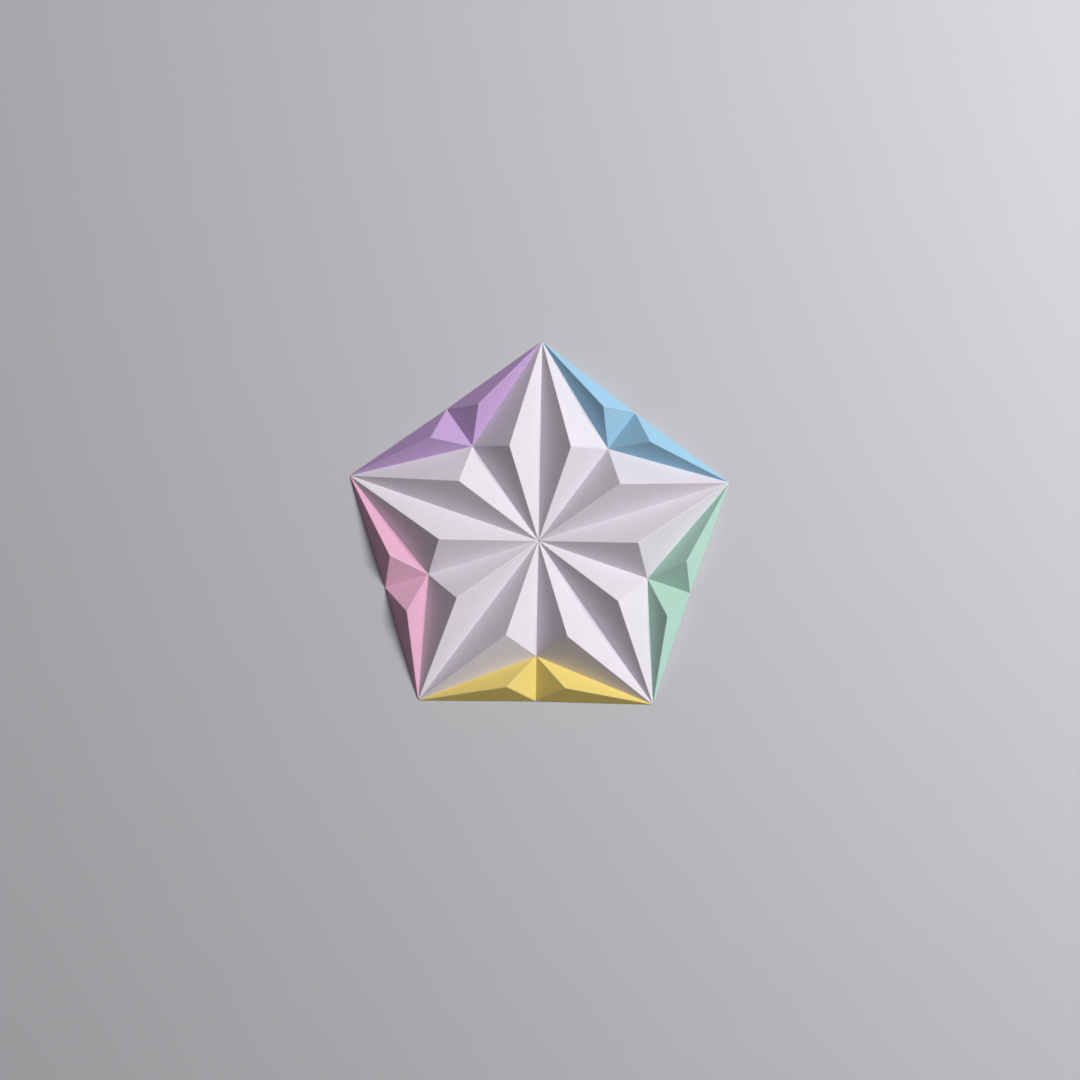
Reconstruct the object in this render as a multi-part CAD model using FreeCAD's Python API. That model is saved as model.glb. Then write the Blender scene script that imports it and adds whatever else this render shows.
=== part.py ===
import FreeCAD, Part
import math
import os

# A five-tipped star of twenty folded card pyramids, lying on its back.
# The origin is the middle of the bottom of its box, on the plane that it
# lies on. +Z points out of its face, and +Y points to its first tip.
# Each pyramid is one sheet: three facets, a ridge tab that closes them into
# a peak along an open seam, and a hem or a joining tab along each lower edge.

# Outline of the star, seen from the front
TIP_COUNT = 5
TIP_RADIUS = 100.0
INNER_RADIUS = 57.7
SIDE_DIP = 0.6

# Peaks above the plane of the lower edges
WHITE_PEAK_HEIGHT = 13.0
COLOUR_PEAK_HEIGHT = 8.5

# How much a coloured peak leans to the tip, the inner point and the side
LEAN_TO_TIP = 0.25
LEAN_TO_INNER = 0.32
LEAN_TO_SIDE = 0.43

# Card, and the inner radius of a folded ridge
SHEET = 0.3
CREASE_RADIUS = 0.1

# How far a blank runs below the seam plane before it is trimmed there
TRIM_DEPTH = 3.0

# Hem turned in under its own facet, and how much narrower a joining tab is
HEM_WIDTH = 4.5
LAP_MARGIN = 0.7

# Ridge tab, and the shares of the ridge where it starts and ends
RIDGE_TAB_WIDTH = 4.0
RIDGE_TAB_START = 0.3
RIDGE_TAB_END = 0.85

# Open seam beside the closed ridge: its width, the bare card between it and
# the fold, and how far from the peak it ends
RIDGE_SEAM_GAP = 0.06
RIDGE_SEAM_INSET = 0.1
RIDGE_SEAM_END = 1.0

# Bare length beside each end of a flap, and the slant of the flap's ends
# as a share of the corner beside it
CORNER_GAP = 1.6
FLAP_SLANT = 0.4
RIDGE_TAB_SLANT = 50.0

# Least length of a flap's free edge: on a short edge the flap is narrower
FLAP_TOP = 2.0

# Sides of the star in clockwise order from the first tip
SIDE_COLOURS = ("blue", "green", "yellow", "pink", "purple")

TAB_WIDTH = HEM_WIDTH - LAP_MARGIN
SEAM_HEIGHT = SHEET
ARM_TURN = 360.0 / TIP_COUNT
SIDE_RADIUS = TIP_RADIUS * math.cos(math.radians(ARM_TURN / 2)) - SIDE_DIP
UP = FreeCAD.Vector(0, 0, 1)
MIDDLE = FreeCAD.Vector(0, 0, SEAM_HEIGHT)


def seam_point(radius, arms):
    """A point on the seam plane, so many arms clockwise from the first tip."""
    turn = math.radians(arms * ARM_TURN)
    return FreeCAD.Vector(radius * math.sin(turn), radius * math.cos(turn), SEAM_HEIGHT)


def weighted(points, weights):
    """The mean of some points, each with its own weight."""
    total = FreeCAD.Vector()
    for place, weight in zip(points, weights):
        total = total + place * weight
    return total / sum(weights)


def corner_angle(corner, first, second):
    """The angle at a corner between the ways to two other points."""
    return (first - corner).getAngle(second - corner)


def facet_normals(corners, peak):
    """Outward unit normals of the three facets around a peak."""
    normals = []
    for k in range(3):
        along = corners[(k + 1) % 3] - corners[k]
        normal = along.cross(peak - corners[k]).normalize()
        normals.append(normal if normal.z > 0 else normal * -1)
    return normals


def set_back(corners, peak, depth):
    """The move that sets all three facets back by the same depth."""
    a, b, c = facet_normals(corners, peak)
    return (b.cross(c) + c.cross(a) + a.cross(b)) * (-depth / a.dot(b.cross(c)))


def flat_face(outline):
    return Part.Face(Part.makePolygon(outline + outline[:1]))


def pyramid(corners, peak):
    """The solid between a base triangle and its peak."""
    ring = list(corners)
    if (ring[1] - ring[0]).cross(ring[2] - ring[0]).z < 0:
        ring.reverse()
    faces = [flat_face(ring[::-1])]
    for k in range(3):
        faces.append(flat_face([ring[k - 1], ring[k], peak]))
    shell = Part.Shell(faces)
    shell.sewShape()
    return Part.Solid(shell)


def swollen(solid, thickness):
    """The solid with a layer all round, rounded at its edges."""
    return solid.makeOffsetShape(thickness, SHEET / 1000, False, False, 0, 0, False)


def facets(corners, peak):
    """The three facets as one bent sheet, with the solid that it wraps.

    The sheet is wrapped round a core that runs below the seam plane, and both
    are then trimmed there."""
    deeper = 1 + TRIM_DEPTH / (peak.z - SEAM_HEIGHT)
    move = set_back(corners, peak, SHEET + CREASE_RADIUS)
    low = [peak + (corner - peak) * deeper + move for corner in corners]
    core = pyramid(low, peak + move)
    outer = swollen(core, SHEET + CREASE_RADIUS)
    inner = swollen(core, CREASE_RADIUS)
    reach = 2 * TIP_RADIUS
    corner = FreeCAD.Vector(-reach, -reach, SEAM_HEIGHT)
    above = Part.makeBox(2 * reach, 2 * reach, 2 * peak.z, corner)
    outer = outer.common(above)
    return outer.cut(inner), outer


def flap(start, end, towards, width, height, root=0.0):
    """A flat flap with slanted ends along an edge, on the side of a point.

    It lies inside the triangle of the edge and that point, with its lower face
    at the given height, and its root runs back past the edge."""
    along = (end - start).normalize()
    across = UP.cross(along)
    if across.dot(towards - start) < 0:
        across = across * -1
    run_start = 1 / math.tan(FLAP_SLANT * corner_angle(start, end, towards))
    run_end = 1 / math.tan(FLAP_SLANT * corner_angle(end, start, towards))
    first = start + along * CORNER_GAP
    last = end - along * CORNER_GAP
    room = first.distanceToPoint(last) - FLAP_TOP
    width = min(width, room / (run_start + run_end))
    outline = [
        first - across * root,
        first,
        first + (along * run_start + across) * width,
        last - (along * run_end - across) * width,
        last,
        last - across * root,
    ]
    if root == 0:
        outline = outline[1:-1]
    for corner in outline:
        corner.z = height
    return flat_face(outline).extrude(UP * SHEET)


def hem(outer, start, end, towards):
    """Turned in under the module's own facet, one sheet above the ground."""
    return flap(start, end, towards, HEM_WIDTH, SEAM_HEIGHT).common(outer)


def joining_tab(start, end, peak, towards):
    """Turned out under the neighbour's hem, flat on the ground."""
    along = (end - start).normalize()
    normal = along.cross(peak - start).normalize()
    root = SHEET / math.hypot(normal.x, normal.y)
    return flap(start, end, towards, TAB_WIDTH, 0.0, root)


def ridge_directions(corners, peak):
    """Up the ridge to the last corner, across the facet beside it and inwards."""
    along = (peak - corners[2]).normalize()
    inward = facet_normals(corners, peak)[1] * -1
    across = inward.cross(along)
    if across.dot(corners[1] - corners[2]) < 0:
        across = across * -1
    return along, across, inward


def ridge_seam(corners, peak):
    """The gap where the free edge of a facet meets the fold of the last ridge."""
    along, across, inward = ridge_directions(corners, peak)
    normals = facet_normals(corners, peak)
    fold = (SHEET + CREASE_RADIUS) * math.tan(normals[1].getAngle(normals[2]) / 2)
    near = across * (fold + RIDGE_SEAM_INSET) - inward * SHEET
    far = near + across * RIDGE_SEAM_GAP
    low = corners[2] - along * TRIM_DEPTH
    high = peak - along * RIDGE_SEAM_END
    return flat_face([low + near, low + far, high + far, high + near]).extrude(inward * 2 * SHEET)


def ridge_tab(corners, peak):
    """Closes the ridge to the last corner, glued under the facet beside it."""
    along, across, inward = ridge_directions(corners, peak)
    foot = corners[2] + set_back(corners, peak, SHEET)
    length = corners[2].distanceToPoint(peak)
    run = 1 / math.tan(math.radians(RIDGE_TAB_SLANT))
    low = foot + along * (length * RIDGE_TAB_START)
    high = foot + along * (length * RIDGE_TAB_END)
    room = low.distanceToPoint(high) - FLAP_TOP
    width = min(RIDGE_TAB_WIDTH, room / (2 * run))
    outline = [
        low,
        low + (along * run + across) * width,
        high - (along * run - across) * width,
        high,
    ]
    return flat_face(outline).extrude(inward * SHEET)


def module(corners, peak, hems, tabs):
    """One folded sheet: three facets, and a flap along each lower edge.

    Each hem and tab is an edge and the point that its flap is turned to."""
    sheet, outer = facets(corners, peak)
    sheet = sheet.cut(ridge_seam(corners, peak))
    flaps = [ridge_tab(corners, peak)]
    flaps += [hem(outer, start, end, towards) for start, end, towards in hems]
    flaps += [joining_tab(start, end, peak, towards) for start, end, towards in tabs]
    return sheet.fuse(flaps).removeSplitter()


def white_module(arm, hand):
    """One of the two white pyramids of an arm, hand +1 clockwise and -1 back."""
    tip = seam_point(TIP_RADIUS, arm)
    inner = seam_point(INNER_RADIUS, arm + hand / 2)
    side = seam_point(SIDE_RADIUS, arm + hand / 2)
    corners = [MIDDLE, tip, inner]
    lengths = [corners[k - 2].distanceToPoint(corners[k - 1]) for k in range(3)]
    peak = weighted(corners, lengths) + UP * WHITE_PEAK_HEIGHT
    if hand > 0:
        hems = [(MIDDLE, tip, inner)]
        tabs = [(MIDDLE, inner, seam_point(TIP_RADIUS, arm + 1))]
    else:
        hems = [(MIDDLE, inner, tip)]
        tabs = [(MIDDLE, tip, seam_point(INNER_RADIUS, arm + 0.5))]
    tabs.append((tip, inner, side))
    return module(corners, peak, hems, tabs)


def coloured_module(arm, hand):
    """One of the two coloured pyramids of an arm, hand +1 clockwise and -1 back."""
    tip = seam_point(TIP_RADIUS, arm)
    inner = seam_point(INNER_RADIUS, arm + hand / 2)
    side = seam_point(SIDE_RADIUS, arm + hand / 2)
    corners = [tip, inner, side]
    leans = (LEAN_TO_TIP, LEAN_TO_INNER, LEAN_TO_SIDE)
    peak = weighted(corners, leans) + UP * COLOUR_PEAK_HEIGHT
    hems = [(tip, inner, side), (tip, side, inner)]
    tabs = []
    if hand > 0:
        tabs.append((inner, side, seam_point(TIP_RADIUS, arm + 1)))
    else:
        hems.append((inner, side, tip))
    return module(corners, peak, hems, tabs)


def all_modules():
    """The twenty modules by name, with the middle of the star at the origin.

    Arms and sides are numbered clockwise from the first tip, and left and
    right are as seen from the front with that arm or side turned up."""
    modules = {}
    for index in range(TIP_COUNT):
        colour = SIDE_COLOURS[index % len(SIDE_COLOURS)]
        number = index + 1
        modules["white_module_%d_left" % number] = white_module(index, -1)
        modules["white_module_%d_right" % number] = white_module(index, 1)
        modules["%s_module_%d_left" % (colour, number)] = coloured_module(index, 1)
        modules["%s_module_%d_right" % (colour, number)] = coloured_module(index + 1, -1)
    return modules


star = all_modules()
box = Part.makeCompound(list(star.values())).optimalBoundingBox(False)
base = FreeCAD.Vector(box.Center.x, box.Center.y, box.ZMin)
os.makedirs("parts", exist_ok=True)
for name, shape in star.items():
    shape.translate(base * -1)
    shape.exportStep("parts/" + name + ".step")
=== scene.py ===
import math

import bmesh
import bpy
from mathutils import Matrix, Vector

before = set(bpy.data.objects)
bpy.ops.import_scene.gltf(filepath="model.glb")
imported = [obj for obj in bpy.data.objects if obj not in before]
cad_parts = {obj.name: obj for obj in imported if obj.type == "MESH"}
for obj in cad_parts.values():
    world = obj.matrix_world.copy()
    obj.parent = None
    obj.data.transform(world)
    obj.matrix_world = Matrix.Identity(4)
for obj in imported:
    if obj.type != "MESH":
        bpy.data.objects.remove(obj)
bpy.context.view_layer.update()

bl_info = {
    "name": "Folded Card Star",
    "version": (1, 0, 0),
    "blender": (4, 5, 0),
    "location": "View3D > Sidebar > Card Star",
    "description": "Finishes the folded card modules of a star and sets it on a pale floor",
    "category": "Material",
}


def peak_of(name):
    """The highest point of a module."""
    return max((v.co.copy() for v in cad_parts[name].data.vertices), key=lambda co: co.z)


# Height of the seams above the plane that the star lies on
SEAM_HEIGHT = 0.0003

# The star's middle on its seams, midway between the peaks of its white modules
WHITE_PEAKS = [peak_of(name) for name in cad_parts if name.startswith("white_")]
MIDDLE = sum(WHITE_PEAKS, Vector()) / len(WHITE_PEAKS)
MIDDLE.z = SEAM_HEIGHT

# Outline of the star in metres, as it was packed: five arms, and from the
# middle to a tip, to an inner point and to the middle of a side, which dips in
ARM_COUNT = 5
HALF_ARM = math.pi / ARM_COUNT
TIP_RADIUS = 0.1
INNER_RADIUS = 0.0577
SIDE_DIP = 0.0006
SIDE_RADIUS = TIP_RADIUS * math.cos(HALF_ARM) - SIDE_DIP

# The photograph, in its own pixels: its side, and the star's middle and
# distance to a tip in it, with the star's clockwise turn
PHOTO_SIDE = 1080
PHOTO_MIDDLE = (538.55, 540.81)
PHOTO_TIP_RADIUS = 199.7
PHOTO_TURN = math.radians(1.05)

# Width of the camera's sensor, in millimetres
SENSOR = 36.0

# Colour of the paler line along a fold, partly card worn to bare paper and partly a painted highlight
BARE_PAPER_AND_HIGHLIGHT = (0.99, 0.94, 0.99)

# Shares of the card's mottle that come from each of its patterns
GRAIN_SHARE = 0.5
FIBRE_SHARE = 0.25
CLOUD_SHARE = 0.17
MODULE_SHARE = 0.08

# How far the fibres stand out beside the grain
FIBRE_RELIEF = 0.6

# Gloss of the card, and its roughness with what the grain adds to it
CARD_GLOSS = 0.2
CARD_ROUGHNESS = 0.82
GRAIN_ROUGHNESS = 0.14

# Floor: size and strength of its soft mottle, its gloss and roughness, and the
# number of straight stretches in its rim
FLOOR_PATCH = 0.05
FLOOR_MOTTLE = 0.02
FLOOR_GLOSS = 0.1
FLOOR_ROUGHNESS = 0.9
FLOOR_SEGMENTS = 96


class CardSettings(bpy.types.PropertyGroup):
    """Colours and paper texture of the card"""

    white: bpy.props.FloatVectorProperty(
        name="White", description="Card of the ten modules of the inner star",
        default=(0.885, 0.838, 0.91), subtype="COLOR", min=0.0, max=1.0,
    )
    blue: bpy.props.FloatVectorProperty(
        name="Blue", description="Card of the side clockwise from the first tip",
        default=(0.377, 0.657, 0.867), subtype="COLOR", min=0.0, max=1.0,
    )
    green: bpy.props.FloatVectorProperty(
        name="Green", description="Card of the second side",
        default=(0.509, 0.773, 0.655), subtype="COLOR", min=0.0, max=1.0,
    )
    yellow: bpy.props.FloatVectorProperty(
        name="Yellow", description="Card of the third side",
        default=(0.99, 0.775, 0.232), subtype="COLOR", min=0.0, max=1.0,
    )
    pink: bpy.props.FloatVectorProperty(
        name="Pink", description="Card of the fourth side",
        default=(0.91, 0.513, 0.693), subtype="COLOR", min=0.0, max=1.0,
    )
    purple: bpy.props.FloatVectorProperty(
        name="Purple", description="Card of the fifth side",
        default=(0.637, 0.43, 0.763), subtype="COLOR", min=0.0, max=1.0,
    )
    grain_size: bpy.props.FloatProperty(
        name="Grain size", description="Distance between the bumps of the paper's grain",
        default=0.0005, min=0.0001, unit="LENGTH",
    )
    grain_depth: bpy.props.FloatProperty(
        name="Grain depth", description="Height of the paper's grain",
        default=0.00002, min=0.0, unit="LENGTH",
    )
    mottle: bpy.props.FloatProperty(
        name="Mottle", description="How much the card's tone varies from place to place",
        default=0.35, min=0.0, max=1.0, subtype="FACTOR",
    )
    fibre_length: bpy.props.FloatProperty(
        name="Fibre length", description="Length of the faint streaks along the paper's grain",
        default=0.004, min=0.0005, unit="LENGTH",
    )
    cloud_size: bpy.props.FloatProperty(
        name="Cloud size", description="Size of the soft patches of lighter and darker paper",
        default=0.012, min=0.001, unit="LENGTH",
    )
    buckle_depth: bpy.props.FloatProperty(
        name="Buckle depth", description="How far a folded facet is from flat",
        default=0.00005, min=0.0, unit="LENGTH",
    )
    # The paler line along each fold, set by the next three, is partly worn card and partly a painted
    # highlight
    wear_and_highlight_width: bpy.props.FloatProperty(
        name="Wear width", description="Half the width of the paler line along a fold",
        default=0.0003, min=0.0001, unit="LENGTH",
    )
    white_wear_and_highlight: bpy.props.FloatProperty(
        name="White wear",
        description="How far the line along a fold of white card is worn to bare paper",
        default=0.95, min=0.0, max=1.0, subtype="FACTOR",
    )
    coloured_wear_and_highlight: bpy.props.FloatProperty(
        name="Coloured wear",
        description="How far the line along a fold of coloured card is worn to bare paper",
        default=0.2, min=0.0, max=1.0, subtype="FACTOR",
    )
    # Near its corners the card is made paler, towards the white card's colour
    corner_size: bpy.props.FloatProperty(
        name="Corner size", description="How far the card's white core shows from a sharp corner",
        default=0.0007, min=0.0001, unit="LENGTH",
    )
    corner_paling: bpy.props.FloatProperty(
        name="Corner wear", description="How much the card's white core shows at its corners",
        default=0.6, min=0.0, max=1.0, subtype="FACTOR",
    )


class StageSettings(bpy.types.PropertyGroup):
    """Floor, light and camera"""

    floor_colour: bpy.props.FloatVectorProperty(
        name="Floor", description="Colour of the floor",
        default=(0.735, 0.725, 0.76), subtype="COLOR", min=0.0, max=1.0,
    )
    floor_radius: bpy.props.FloatProperty(
        name="Floor radius", description="From the middle of the floor to its rim",
        default=4.0, min=0.5, unit="LENGTH",
    )
    lamp_distance: bpy.props.FloatProperty(
        name="Lamp distance", description="From the star to the lamp",
        default=1.65, min=0.5, unit="LENGTH",
    )
    lamp_size: bpy.props.FloatProperty(
        name="Lamp size", description="Diameter of the soft lamp",
        default=0.6, min=0.05, unit="LENGTH",
    )
    lamp_side: bpy.props.FloatProperty(
        name="Lamp side", description="Turn of the lamp from the picture's right towards its top",
        default=math.radians(26.0), subtype="ANGLE",
    )
    lamp_rise: bpy.props.FloatProperty(
        name="Lamp rise", description="Angle of the lamp above the floor",
        default=math.radians(41.0), subtype="ANGLE",
    )
    lamp_light: bpy.props.FloatProperty(
        name="Lamp light",
        description="Light on a facet that faces the lamp, where 1 shows its colour as written",
        default=0.877, min=0.0,
    )
    room_light: bpy.props.FloatProperty(
        name="Room light",
        description="Even light from all round, where 1 shows a colour as written",
        default=0.092, min=0.0,
    )
    backdrop: bpy.props.FloatVectorProperty(
        name="Backdrop", description="Colour behind the floor",
        default=(0.46, 0.455, 0.48), subtype="COLOR", min=0.0, max=1.0,
    )
    camera_distance: bpy.props.FloatProperty(
        name="Camera distance", description="From the camera straight down to the floor",
        default=3.0, min=0.5, unit="LENGTH",
    )


def add_node(tree, kind, inputs=None, **settings):
    """Adds a shader node, with its settings, and a value or a link for each input."""
    added = tree.nodes.new(kind)
    for name, value in settings.items():
        setattr(added, name, value)
    for name, value in (inputs or {}).items():
        if isinstance(value, bpy.types.NodeSocket):
            tree.links.new(value, added.inputs[name])
        else:
            added.inputs[name].default_value = value
    return added


def calculate(tree, operation, *values):
    """One step of arithmetic on numbers."""
    added = add_node(tree, "ShaderNodeMath", dict(enumerate(values)), operation=operation)
    return added.outputs[0]


def calculate_vector(tree, operation, *values):
    """One step of arithmetic on points, giving a point or, for a length, a number."""
    added = add_node(tree, "ShaderNodeVectorMath", dict(enumerate(values)), operation=operation)
    return added.outputs["Value" if operation == "LENGTH" else "Vector"]


def mix_colours(tree, factor, first, second):
    """The first colour where the factor is 0, and the second where it is 1."""
    added = tree.nodes.new("ShaderNodeMix")
    added.data_type = "RGBA"
    tree.links.new(factor, added.inputs["Factor"])
    for slot, value in ((6, first), (7, second)):
        if isinstance(value, bpy.types.NodeSocket):
            tree.links.new(value, added.inputs[slot])
        else:
            added.inputs[slot].default_value = (*value, 1.0)
    return added.outputs[2]


def tinted(tree, colour, tone):
    """The colour made darker by a tone under 1, and lighter by one over 1."""
    added = add_node(tree, "ShaderNodeVectorMath", {0: tuple(colour), "Scale": tone}, operation="SCALE")
    return added.outputs["Vector"]


def noise(tree, point, size, detail=2.0):
    """Soft noise between about 0 and 1, with patches of the given size."""
    inputs = {"Vector": point, "Scale": 1 / size, "Detail": detail}
    return add_node(tree, "ShaderNodeTexNoise", inputs).outputs["Fac"]


def half_arm(tree, point):
    """The point brought into the half arm to the right of the first tip, where
    every module lies on the same spot, and the number of its own half arm."""
    parts = add_node(tree, "ShaderNodeSeparateXYZ", {
        "Vector": calculate_vector(tree, "SUBTRACT", point, MIDDLE)})
    x, y, z = parts.outputs
    turn = calculate(tree, "ARCTAN2", x, y)
    radius = calculate(tree, "SQRT", calculate(
        tree, "ADD", calculate(tree, "MULTIPLY", x, x), calculate(tree, "MULTIPLY", y, y)))
    number = calculate(tree, "FLOOR", calculate(tree, "DIVIDE", turn, HALF_ARM))
    folded = calculate(tree, "PINGPONG", turn, HALF_ARM)
    across = calculate(tree, "MULTIPLY", radius, calculate(tree, "SINE", folded))
    along = calculate(tree, "MULTIPLY", radius, calculate(tree, "COSINE", folded))
    place = add_node(tree, "ShaderNodeCombineXYZ", {"X": across, "Y": along, "Z": z})
    return place.outputs["Vector"], number


def distance_to_fold(tree, point, peak, foot):
    """Distance from the point to the line through a peak and a foot of its ridge."""
    direction = (foot - peak).normalized()
    across = calculate_vector(
        tree, "CROSS_PRODUCT", calculate_vector(tree, "SUBTRACT", point, peak), direction)
    return calculate_vector(tree, "LENGTH", across)


def fade(tree, distance, reach, strength):
    """The given strength near by, falling softly to 0 at half as far again as the reach."""
    faded = add_node(tree, "ShaderNodeMapRange", {
        "Value": distance, "From Min": 1.5 * reach, "From Max": 0.5 * reach,
        "To Min": 0.0, "To Max": strength,
    }, interpolation_type="SMOOTHSTEP")
    return faded.outputs["Result"]


def nearest(tree, distances):
    """The least of three distances."""
    return calculate(tree, "MINIMUM", calculate(tree, "MINIMUM", *distances[:2]), distances[2])


def seam_point(radius, half_arms):
    """Where a point on the seams lies from the middle, so many half arms
    clockwise from the first tip."""
    turn = half_arms * HALF_ARM
    return Vector((radius * math.sin(turn), radius * math.cos(turn), 0.0))


def card_material(name, colour, wear_and_highlight, peak, feet):
    """Card with a fine grain and faint fibres, paler along its folds, partly from wear and partly as a
    painted highlight, and paler near its corners.

    The peak and the feet of its ridges are given from the star's middle."""
    card = bpy.context.scene.star_card
    material = bpy.data.materials.new(name)
    material.use_nodes = True
    tree = material.node_tree
    shader = tree.nodes["Principled BSDF"]
    point = tree.nodes.new("ShaderNodeTexCoord").outputs["Object"]

    place, number = half_arm(tree, point)
    grain = noise(tree, point, card.grain_size, detail=3.0)
    cloud = noise(tree, point, card.cloud_size)
    apart = add_node(tree, "ShaderNodeCombineXYZ", {"Z": number})
    streaks = add_node(tree, "ShaderNodeMapping", {
        "Vector": place, "Location": apart.outputs["Vector"],
        "Scale": (1.0, card.grain_size / card.fibre_length, 1.0)})
    fibres = noise(tree, streaks.outputs["Vector"], card.grain_size)
    # The paler line along each fold is partly worn card and partly a painted highlight
    fold = nearest(tree, [distance_to_fold(tree, place, peak, foot) for foot in feet])
    fold = calculate(tree, "MULTIPLY_ADD", grain, card.wear_and_highlight_width, fold)
    worn_and_highlit = fade(tree, fold, card.wear_and_highlight_width, wear_and_highlight)
    # Near the corners the card turns paler, towards the white card's colour
    to_feet = [calculate_vector(tree, "SUBTRACT", place, foot) for foot in feet]
    corner = nearest(tree, [calculate_vector(tree, "LENGTH", way) for way in to_feet])
    paled_corner = fade(tree, corner, card.corner_size, card.corner_paling)

    # Each pattern lies about 0.5, so that the tone lies about 1
    own = add_node(tree, "ShaderNodeTexWhiteNoise", {"W": number}, noise_dimensions="1D").outputs["Value"]
    shares = ((grain, GRAIN_SHARE), (fibres, FIBRE_SHARE), (cloud, CLOUD_SHARE), (own, MODULE_SHARE))
    tone = 1 - 0.5 * card.mottle
    for pattern, share in shares:
        tone = calculate(tree, "MULTIPLY_ADD", pattern, share * card.mottle, tone)
    # Mix in the fold line, partly wear and partly painted highlight, then the paler corners
    shown = mix_colours(tree, worn_and_highlit, tinted(tree, colour, tone), BARE_PAPER_AND_HIGHLIGHT)
    shown = mix_colours(tree, paled_corner, shown, tuple(card.white))
    tree.links.new(shown, shader.inputs["Base Color"])

    height = calculate(tree, "MULTIPLY_ADD", fibres, FIBRE_RELIEF, grain)
    buckle = add_node(tree, "ShaderNodeBump", {"Distance": card.buckle_depth, "Height": cloud})
    relief = add_node(tree, "ShaderNodeBump", {
        "Distance": card.grain_depth, "Height": height, "Normal": buckle.outputs["Normal"]})
    tree.links.new(relief.outputs["Normal"], shader.inputs["Normal"])
    rough = calculate(tree, "MULTIPLY_ADD", grain, GRAIN_ROUGHNESS, CARD_ROUGHNESS)
    tree.links.new(rough, shader.inputs["Roughness"])
    shader.inputs["Specular IOR Level"].default_value = CARD_GLOSS
    return material


def finish_modules(colour):
    """Gives every module of one colour its card, and says how many there are."""
    nodes = [node for name, node in sorted(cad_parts.items()) if name.startswith(colour + "_")]
    if not nodes:
        raise RuntimeError("the packed model has no %s module" % colour)
    tip = seam_point(TIP_RADIUS, 0)
    inner = seam_point(INNER_RADIUS, 1)
    side = seam_point(SIDE_RADIUS, 1)
    card = bpy.context.scene.star_card
    # On white card the paler fold line is mostly a painted highlight, on coloured card mostly wear
    if colour == "white":
        wear_and_highlight = card.white_wear_and_highlight
        peak = peak_of("white_module_1_right")
        feet = (Vector(), tip, inner)
    else:
        wear_and_highlight = card.coloured_wear_and_highlight
        peak = peak_of("blue_module_1_left")
        feet = (tip, inner, side)
    material = card_material(colour + "_card", getattr(card, colour), wear_and_highlight, peak - MIDDLE, feet)
    for node in nodes:
        node.material_slots[0].material = material
    return len(nodes)


class FinishModules:
    """What the operators for the modules of one colour share."""

    colour = ""

    def execute(self, context):
        count = finish_modules(self.colour)
        self.report({"INFO"}, "%d %s modules finished" % (count, self.colour))
        return {"FINISHED"}


class STAR_OT_white_modules(FinishModules, bpy.types.Operator):
    """Finish the ten white modules of the inner star"""

    bl_idname = "star.white_modules"
    bl_label = "White Modules"
    colour = "white"


class STAR_OT_blue_modules(FinishModules, bpy.types.Operator):
    """Finish the two blue modules of the first side"""

    bl_idname = "star.blue_modules"
    bl_label = "Blue Modules"
    colour = "blue"


class STAR_OT_green_modules(FinishModules, bpy.types.Operator):
    """Finish the two green modules of the second side"""

    bl_idname = "star.green_modules"
    bl_label = "Green Modules"
    colour = "green"


class STAR_OT_yellow_modules(FinishModules, bpy.types.Operator):
    """Finish the two yellow modules of the third side"""

    bl_idname = "star.yellow_modules"
    bl_label = "Yellow Modules"
    colour = "yellow"


class STAR_OT_pink_modules(FinishModules, bpy.types.Operator):
    """Finish the two pink modules of the fourth side"""

    bl_idname = "star.pink_modules"
    bl_label = "Pink Modules"
    colour = "pink"


class STAR_OT_purple_modules(FinishModules, bpy.types.Operator):
    """Finish the two purple modules of the fifth side"""

    bl_idname = "star.purple_modules"
    bl_label = "Purple Modules"
    colour = "purple"


def floor_material(stage):
    """A matt painted floor with a very soft mottle."""
    material = bpy.data.materials.new("pale_floor")
    material.use_nodes = True
    tree = material.node_tree
    shader = tree.nodes["Principled BSDF"]
    point = tree.nodes.new("ShaderNodeTexCoord").outputs["Object"]
    patches = noise(tree, point, FLOOR_PATCH)
    tone = calculate(tree, "MULTIPLY_ADD", patches, FLOOR_MOTTLE, 1 - 0.5 * FLOOR_MOTTLE)
    tree.links.new(tinted(tree, stage.floor_colour, tone), shader.inputs["Base Color"])
    shader.inputs["Roughness"].default_value = FLOOR_ROUGHNESS
    shader.inputs["Specular IOR Level"].default_value = FLOOR_GLOSS
    return material


def make_floor(stage):
    """A round floor on the plane that the star lies on."""
    mesh = bpy.data.meshes.new("floor")
    bm = bmesh.new()
    bmesh.ops.create_circle(bm, cap_ends=True, radius=stage.floor_radius, segments=FLOOR_SEGMENTS)
    bm.to_mesh(mesh)
    bm.free()
    mesh.materials.append(floor_material(stage))
    floor = bpy.data.objects.new("floor", mesh)
    bpy.context.scene.collection.objects.link(floor)


def make_room(stage):
    """Even light from all round, and a plain backdrop where the camera sees past the floor."""
    world = bpy.data.worlds.new("room")
    world.use_nodes = True
    bpy.context.scene.world = world
    tree = world.node_tree
    tree.nodes.clear()
    path = tree.nodes.new("ShaderNodeLightPath").outputs
    seen = calculate(tree, "MAXIMUM", path["Is Camera Ray"], path["Is Glossy Ray"])
    seen = calculate(tree, "MAXIMUM", seen, path["Is Transmission Ray"])
    room = add_node(tree, "ShaderNodeBackground", {"Strength": stage.room_light})
    room.inputs["Color"].default_value = (1.0, 1.0, 1.0, 1.0)
    backdrop = add_node(tree, "ShaderNodeBackground", {"Strength": 1.0})
    backdrop.inputs["Color"].default_value = (*stage.backdrop, 1.0)
    mix = add_node(tree, "ShaderNodeMixShader", {
        0: seen, 1: room.outputs["Background"], 2: backdrop.outputs["Background"]})
    add_node(tree, "ShaderNodeOutputWorld", {"Surface": mix.outputs["Shader"]})


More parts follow.
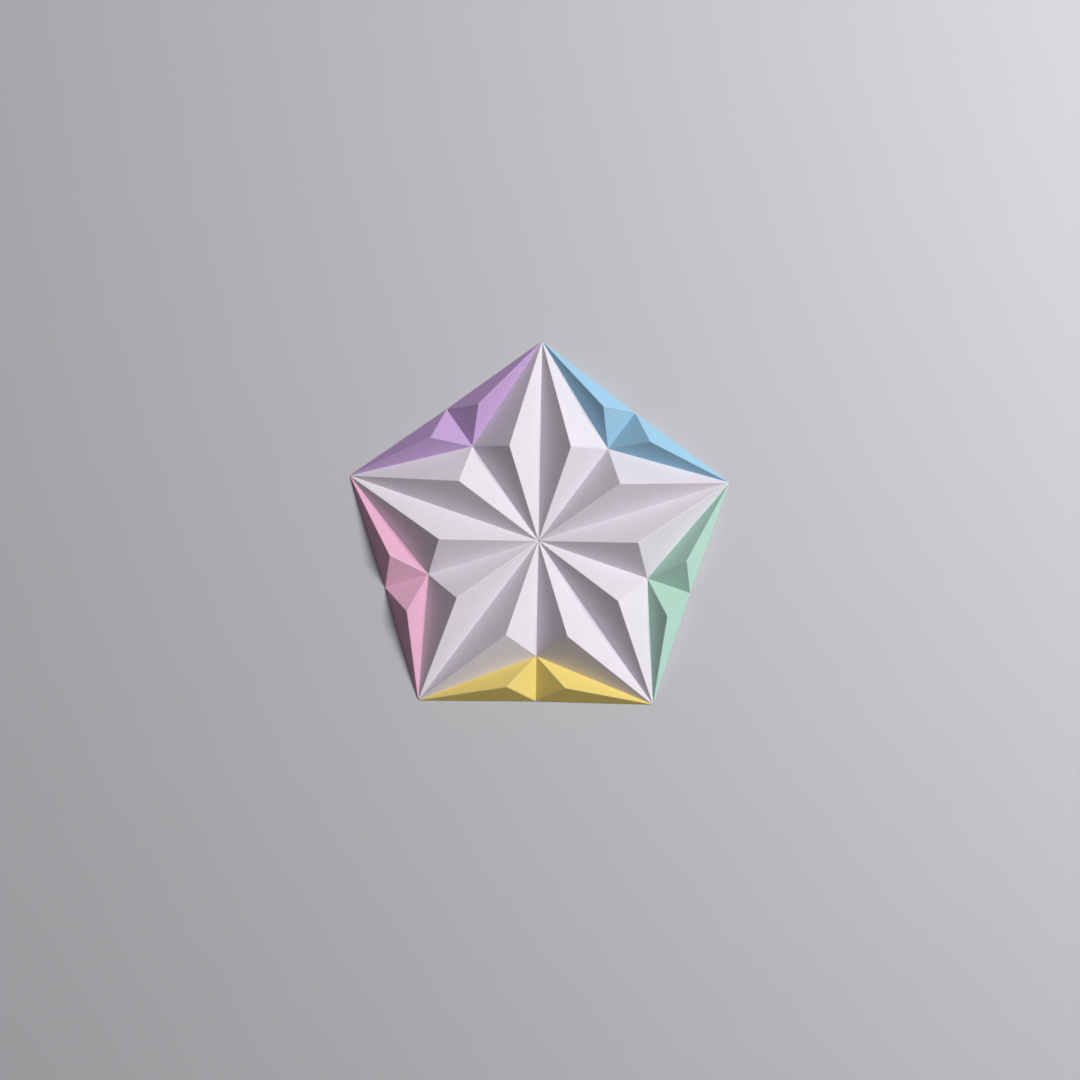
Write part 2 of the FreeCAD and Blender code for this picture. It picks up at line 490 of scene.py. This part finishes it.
def make_lamp(stage):
    """One soft round lamp, up to the right of the picture."""
    side = stage.lamp_side + PHOTO_TURN
    rise = stage.lamp_rise
    towards = Vector((math.cos(side) * math.cos(rise), math.sin(side) * math.cos(rise), math.sin(rise)))
    data = bpy.data.lights.new("soft_lamp", "AREA")
    data.shape = "DISK"
    data.size = stage.lamp_size
    # With this power, a lamp light of 1 shows the colour of a facing facet as written
    data.energy = stage.lamp_light * (math.pi * stage.lamp_distance) ** 2
    lamp = bpy.data.objects.new("soft_lamp", data)
    lamp.location = MIDDLE + towards * stage.lamp_distance
    lamp.rotation_euler = towards.to_track_quat("Z", "Y").to_euler()
    bpy.context.scene.collection.objects.link(lamp)


def make_camera(stage):
    """Straight down on the star, which is as large and as turned as in the photograph."""
    metres_per_pixel = TIP_RADIUS / PHOTO_TIP_RADIUS
    data = bpy.data.cameras.new("camera")
    data.sensor_width = SENSOR
    data.lens = SENSOR * stage.camera_distance / (PHOTO_SIDE * metres_per_pixel)
    right = (PHOTO_SIDE / 2 - PHOTO_MIDDLE[0]) * metres_per_pixel
    up = (PHOTO_MIDDLE[1] - PHOTO_SIDE / 2) * metres_per_pixel
    cosine, sine = math.cos(PHOTO_TURN), math.sin(PHOTO_TURN)
    camera = bpy.data.objects.new("camera", data)
    camera.location = (MIDDLE.x + right * cosine - up * sine, MIDDLE.y + right * sine + up * cosine,
                       stage.camera_distance)
    camera.rotation_euler = (0.0, 0.0, PHOTO_TURN)
    bpy.context.scene.collection.objects.link(camera)
    bpy.context.scene.camera = camera


class STAR_OT_stage(bpy.types.Operator):
    """Make the floor, the light and the camera"""

    bl_idname = "star.stage"
    bl_label = "Stage"

    def execute(self, context):
        stage = context.scene.star_stage
        make_floor(stage)
        make_room(stage)
        make_lamp(stage)
        make_camera(stage)
        context.scene.view_settings.view_transform = "Standard"
        return {"FINISHED"}


OPERATORS = (
    STAR_OT_white_modules,
    STAR_OT_blue_modules,
    STAR_OT_green_modules,
    STAR_OT_yellow_modules,
    STAR_OT_pink_modules,
    STAR_OT_purple_modules,
    STAR_OT_stage,
)


class VIEW3D_PT_card_star(bpy.types.Panel):
    """The settings, and an operator for each step"""

    bl_label = "Card Star"
    bl_idname = "VIEW3D_PT_card_star"
    bl_space_type = "VIEW_3D"
    bl_region_type = "UI"
    bl_category = "Card Star"

    def draw(self, context):
        for settings in (context.scene.star_card, context.scene.star_stage):
            box = self.layout.box()
            for name in settings.bl_rna.properties.keys():
                if name not in ("name", "rna_type"):
                    box.prop(settings, name)
        for operator in OPERATORS:
            self.layout.operator(operator.bl_idname)


CLASSES = (CardSettings, StageSettings, *OPERATORS, VIEW3D_PT_card_star)


def register():
    for cls in CLASSES:
        bpy.utils.register_class(cls)
    bpy.types.Scene.star_card = bpy.props.PointerProperty(type=CardSettings)
    bpy.types.Scene.star_stage = bpy.props.PointerProperty(type=StageSettings)


def unregister():
    del bpy.types.Scene.star_stage
    del bpy.types.Scene.star_card
    for cls in reversed(CLASSES):
        bpy.utils.unregister_class(cls)


def main():
    register()
    bpy.ops.star.white_modules()
    bpy.ops.star.blue_modules()
    bpy.ops.star.green_modules()
    bpy.ops.star.yellow_modules()
    bpy.ops.star.pink_modules()
    bpy.ops.star.purple_modules()
    bpy.ops.star.stage()


if __name__ == "__main__":
    main()
